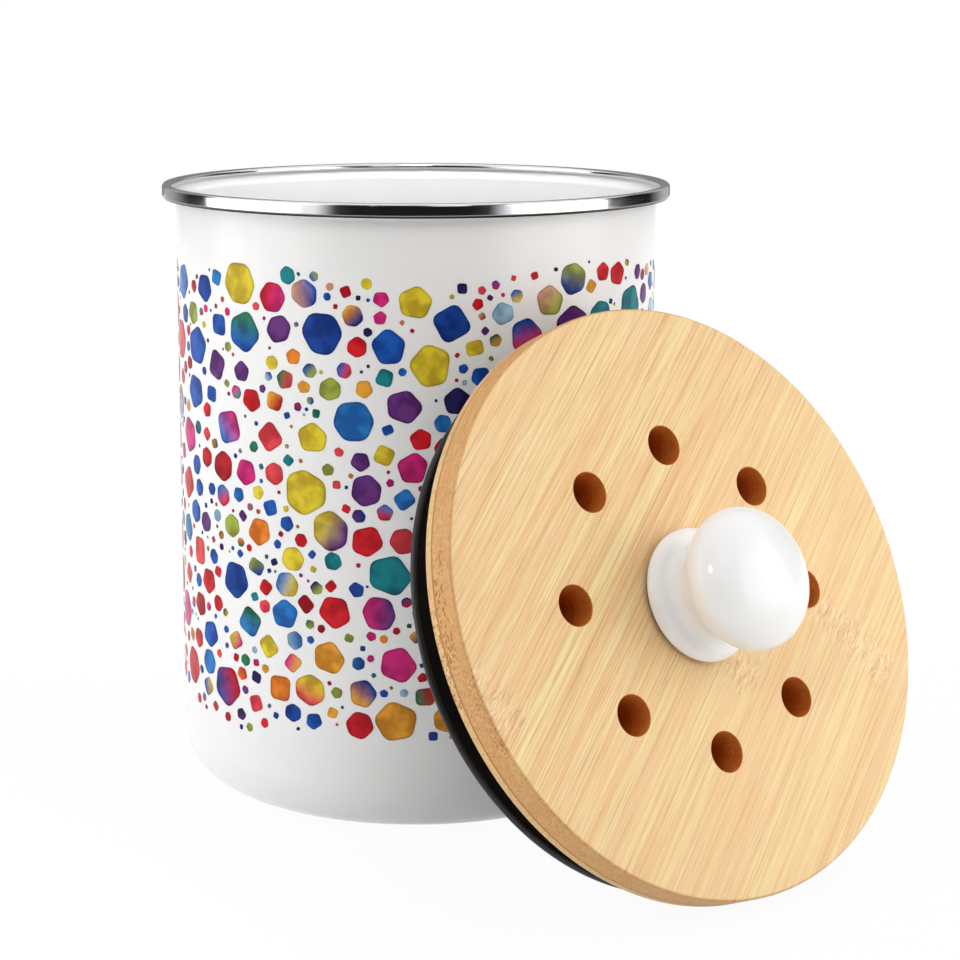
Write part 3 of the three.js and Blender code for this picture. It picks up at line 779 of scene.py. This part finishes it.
def sealOutline():
    inner, outer, lip, bottom = seal["inner"], seal["outer"], seal["lip"], seal["bottom"]
    beadTop = bottom + seal["bead"]
    middle = bottom + seal["bead"] / 2
    webLow, webHigh = middle - seal["web"] / 2, middle + seal["web"] / 2
    neck, bead = lip - seal["beadNeck"], lip - seal["beadWidth"]
    neckRound, beadRound = seal["neckRounds"]
    return rounded([
        (inner, bottom, seal["sleeveRound"]), (outer, bottom, seal["sleeveRound"]),
        (outer, webLow, seal["webRounds"][0]), (neck, webLow, neckRound), (bead, bottom, beadRound),
        (lip, bottom, seal["beadRound"]), (lip, beadTop, seal["beadRound"]),
        (bead, beadTop, beadRound), (neck, webHigh, neckRound), (outer, webHigh, seal["webRounds"][1]),
        (outer, seal["top"], seal["topRounds"][0]), (inner, seal["top"], seal["topRounds"][1]),
        (inner, seal["ribTop"]), (seal["ribInner"], seal["ribTop"], seal["ribRound"]),
        (seal["ribInner"], seal["ribBottom"], seal["ribRound"]), (inner, seal["ribBottom"]),
    ])


lidSeal = turned("lid_seal_silicone", sealOutline(), lidPlace, seal["steps"])
dress(lidSeal, [silicone], "lid", "silicone", "lid_seal")
print("lid made")


# Knob

knob = {
    "base": 12.7, "flange": 20, "footFlat": 18.9, "edge": 1.6, "shoulder": (18, 4),
    "neck": (14.4, 8.6), "head": 21, "headHalf": 11.4, "headHeight": 21.7, "underDeg": 18,
    "footPulls": ((19.6, 0.1), (20, 0.8)), "neckPull": 1.6, "headPull": 2,
    "footSteps": 5, "shoulderSteps": 8, "neckSteps": 10, "headSteps": 32,
    "bushHole": 4.5, "bushDepth": 13.3, "bushFlange": 5.5, "bushFlangeDepth": 1.3, "steps": 128,
}


def knobOutline():  # from the bush's hole out along the foot, up the flange and the neck, over the head
    under = math.radians(-knob["underDeg"])
    head, half, height = knob["head"], knob["headHalf"], knob["headHeight"]
    headStart = (head * math.cos(under), height + half * math.sin(under))
    slope = Vector((head * math.sin(under), -half * math.cos(under))).normalized()
    headPull = Vector(headStart) + slope * knob["headPull"]
    neckPull = (knob["neck"][0], knob["neck"][1] + knob["neckPull"])
    shoulderPull = (knob["neck"][0], knob["shoulder"][1])
    foot, edge = (knob["footFlat"], 0), (knob["flange"], knob["edge"])
    edgePull = (knob["flange"], (knob["edge"] + knob["shoulder"][1]) / 2)
    points = [Vector(point) for point in (
        (0, knob["bushDepth"]), (knob["bushHole"], knob["bushDepth"]),
        (knob["bushHole"], knob["bushFlangeDepth"]), (knob["bushFlange"], knob["bushFlangeDepth"]),
        (knob["bushFlange"], 0), foot)]
    points += bent(foot, *knob["footPulls"], edge, knob["footSteps"])
    points += bent(edge, edgePull, knob["shoulder"], knob["shoulder"], knob["shoulderSteps"])
    points += bent(knob["shoulder"], shoulderPull, shoulderPull, knob["neck"], knob["neckSteps"])
    points += bent(knob["neck"], neckPull, headPull, headStart, knob["neckSteps"])
    for step in range(1, knob["headSteps"] + 1):
        angle = under + (math.radians(90) - under) * step / knob["headSteps"]
        points.append(Vector((head * math.cos(angle), height + half * math.sin(angle))))
    return [Vector((abs(point.x), point.y + knob["base"])) for point in points]


knobPiece = turned("knob_ceramic", knobOutline(), lidPlace, knob["steps"], closed=False)
dress(knobPiece, [glaze], "lid", "glaze", "knob")

washer = {"hole": 2.6, "radius": 18.8, "bottom": 11.9, "top": 12.4, "round": 0.1}
washerOutline = rounded([
    (washer["hole"], washer["bottom"]), (washer["radius"], washer["bottom"], washer["round"]),
    (washer["radius"], washer["top"], washer["round"]), (washer["hole"], washer["top"]),
], steps=2)
footWasher = turned("knob_foot_washer", washerOutline, lidPlace, knob["steps"])
dress(footWasher, [softWasher], "lid", "soft_washer", "knob_washer")
print("knob made")


# Filter under the lid

pad = {"radius": 55.8, "bottom": -11.9, "top": -5.9, "round": 2.2, "crown": 0.25, "crownIn": 9, "steps": 128}
crownRadius = pad["radius"] - pad["crownIn"]
padOutline = rounded([
    (0, pad["bottom"] + pad["crown"]), (crownRadius, pad["bottom"]),
    (pad["radius"], pad["bottom"], pad["round"]), (pad["radius"], pad["top"], pad["round"]),
    (crownRadius, pad["top"]), (0, pad["top"] - pad["crown"]),
], closed=False, steps=8)
filterPad = turned("charcoal_pad", padOutline, lidPlace, pad["steps"], closed=False)
dress(filterPad, [felt], "lid", "charcoal_felt", "carbon_filter")

dress(copied("filter_ring_moulded", "filter_ring"), [plastic], "lid", "black_plastic", "filter_ring")
dress(copied("filter_grille_moulded", "filter_grille"), [plastic], "grille", "black_plastic", "filter_grille")
for number in range(1, 5):
    screw = f"filter_screw_{number}"
    dress(copied(f"ring_screw_{number}", screw), [zinc], "lid", "zinc_steel", screw)
for node, material in (("knob_bush", brass), ("knob_screw", zinc), ("screw_washer", zinc)):
    frame["nodes"][node].data.materials.clear()
    frame["nodes"][node].data.materials.append(material)
print("filter made")


# Floor, cards, lamps and camera

view = {
    "facing": 39.2831,  # degrees from +Y to the camera's line, seen from above
    "distance": 790.33, "eye": 261.38, "pitch": 11.648, "near": 0.02, "far": 20,
    "framePixels": 960, "lensPixels": 2411.88, "middlePixel": 415.857, "sensor": 36,
}


def direction(azimuth):  # a level direction, in degrees from the camera's side, to its right
    angle = math.radians(-90 - view["facing"] + azimuth)
    return Vector((math.cos(angle), math.sin(angle), 0))


# A card's shades run from left to right, seen from behind the card. A soft one only shades the caddy,
# and the others only show in reflections.
cards = {
    "front_shade": {"azimuth": 6, "distance": 860, "low": 0, "width": 1640, "height": 560,
                    "shades": (0.03, 0.03), "soft": True},
    "front_card": {"azimuth": -1.5, "distance": 860, "low": 0, "width": 1480, "height": 560,
                   "shades": (0.9, 0.03, *[0.01] * 5, 0.03, 0.9)},
    "front_card_top": {"azimuth": 4, "distance": 860, "low": 560, "width": 1640, "height": 900,
                       "shades": (0.05, 0.05)},
    "left_card": {"azimuth": -124.5, "distance": 620, "low": 120, "width": 552, "height": 440,
                  "shades": (0.45, 0.36, 0.02, 0.01)},
    "right_card": {"azimuth": 121.9, "distance": 620, "low": 120, "width": 812, "height": 440,
                   "shades": (0.12, 0.01, 0.01, 0.45, 0.5)},
    "back_card": {"azimuth": 180, "distance": 1100, "low": 90, "width": 2400, "height": 1640,
                  "shades": (0.5, 0.25, 0.25, 0.5)},
}

# A lamp's energy is in watts; it is turned to its aim, and else to the middle of the can
lamps = {
    "left_lamp": {"azimuth": -79, "distance": 1000, "middle": 430, "width": 1200, "height": 860,
                  "energy": 3.9},
    "right_lamp": {"azimuth": 71, "distance": 1000, "middle": 400, "width": 1200, "height": 760,
                   "energy": 4.5},
    "floor_lamp": {"azimuth": -42, "distance": 300, "middle": 1200, "width": 120, "height": 120,
                   "energy": 0.12, "spread": 18, "aim": direction(-42) * 290},
    "front_lamp": {"azimuth": 16, "distance": 800, "middle": 780, "width": 260, "height": 260,
                   "energy": 0.4},
    "mouth_lamp": {"azimuth": 0, "distance": 500, "middle": 900, "width": 300, "height": 40,
                   "energy": 0.045, "spread": 10, "aim": direction(0) * -74 + Vector((0, 0, 176))},
    "lid_lamp": {"azimuth": -15, "distance": 700, "middle": 560, "width": 140, "height": 140,
                 "energy": 0.006, "spread": 12, "aim": lidPlace @ Vector((0, 0, 30 * mm)) / mm},
}

room = {"floorHalf": 4000, "floorColour": (0.94, 0.94, 0.94, 1), "floorWhite": 0.95,
        "whiteFrom": 150, "whiteTo": 650,  # the floor is whiter away from the caddy
        "sky": 0.87}


def floorFinish():  # plain matt, that the camera and mirrors see as nearly white
    finish = Finish("floor_white")
    matt = finish.add("ShaderNodeBsdfDiffuse", None, {"Color": room["floorColour"]})
    glow = finish.add("ShaderNodeEmission", None, {"Color": (1, 1, 1, 1), "Strength": 1.0})
    x, y, z = finish.split(finish.coordinates())
    away = (x * x + y * y).root().fade(room["whiteFrom"], room["whiteTo"])
    white = room["floorWhite"] + (1 - room["floorWhite"]) * away
    shader = finish.add("ShaderNodeMixShader", None, {0: white * finish.seen(), 1: matt, 2: glow})
    finish.add("ShaderNodeOutputMaterial", None, {0: shader})
    return finish.material


def cardFinish(name):
    finish = Finish(name)
    glow = finish.add("ShaderNodeEmission", None, {"Color": finish.attribute("shade"), "Strength": 1.0})
    finish.add("ShaderNodeOutputMaterial", None, {0: glow})
    return finish.material


def card(name, azimuth, distance, low, width, height, shades, soft=False):  # upright, facing the can
    bm = bmesh.new()
    last = len(shades) - 1
    bmesh.ops.create_grid(bm, x_segments=last, y_segments=1, size=0.5)
    layer = bm.verts.layers.float_color.new("shade")
    for vert in bm.verts:
        vert[layer] = [shades[round((vert.co.x + 0.5) * last)]] * 3 + [1.0]
    bmesh.ops.scale(bm, verts=bm.verts, vec=(width, height, 1))
    facing = direction(azimuth)
    turn = facing.to_track_quat("Z", "Y").to_matrix().to_4x4()
    place = Matrix.Translation((facing * distance + Vector((0, 0, low + height / 2))) * mm) @ turn
    piece = finished(bm, name, place, weighted=False)
    piece.data.materials.append(cardFinish(name))
    piece.visible_camera = False
    piece.visible_glossy = not soft
    piece.visible_diffuse = piece.visible_shadow = soft


def lamp(name, azimuth, distance, middle, width, height, energy, spread=180, aim=Vector((0, 0, 100))):
    data = bpy.data.lights.new(name, "AREA")
    data.shape = "RECTANGLE"
    data.size, data.size_y = width * mm, height * mm
    data.energy, data.spread = energy, math.radians(spread)
    piece = bpy.data.objects.new(name, data)
    bpy.context.scene.collection.objects.link(piece)
    piece.location = (direction(azimuth) * distance + Vector((0, 0, middle))) * mm
    toward = aim * mm - piece.location
    piece.rotation_euler = toward.to_track_quat("-Z", "Y").to_euler()
    piece.visible_camera = False


def whiteSky():  # the camera and mirrors see it white
    world = bpy.data.worlds.new("white_sky")
    bpy.context.scene.world = world
    world.use_nodes = True
    sky = Finish("sky", world.node_tree)
    strength = room["sky"] + (1 - room["sky"]) * sky.seen()
    glow = sky.add("ShaderNodeBackground", None, {"Color": (1, 1, 1, 1), "Strength": strength})
    sky.add("ShaderNodeOutputWorld", None, {0: glow})


def photoCamera():
    camera = bpy.data.objects.new("camera", bpy.data.cameras.new("camera"))
    bpy.context.scene.collection.objects.link(camera)
    frameWidth = view["framePixels"]
    camera.data.sensor_width = view["sensor"]
    camera.data.lens = view["lensPixels"] / frameWidth * view["sensor"]
    camera.data.shift_x = (frameWidth / 2 - view["middlePixel"]) / frameWidth
    camera.data.clip_start, camera.data.clip_end = view["near"], view["far"]
    camera.location = (direction(0) * view["distance"] + Vector((0, 0, view["eye"]))) * mm
    camera.rotation_euler = (math.radians(90 - view["pitch"]), 0, math.radians(-view["facing"]))
    bpy.context.scene.camera = camera


floorMesh = bmesh.new()
bmesh.ops.create_grid(floorMesh, x_segments=1, y_segments=1, size=room["floorHalf"])
floor = finished(floorMesh, "floor", upright, weighted=False)
floor.data.materials.append(floorFinish())
for name, values in cards.items():
    card(name, **values)
for name, values in lamps.items():
    lamp(name, **values)
whiteSky()
photoCamera()
bpy.context.scene.view_settings.view_transform = "Standard"
print("studio made")
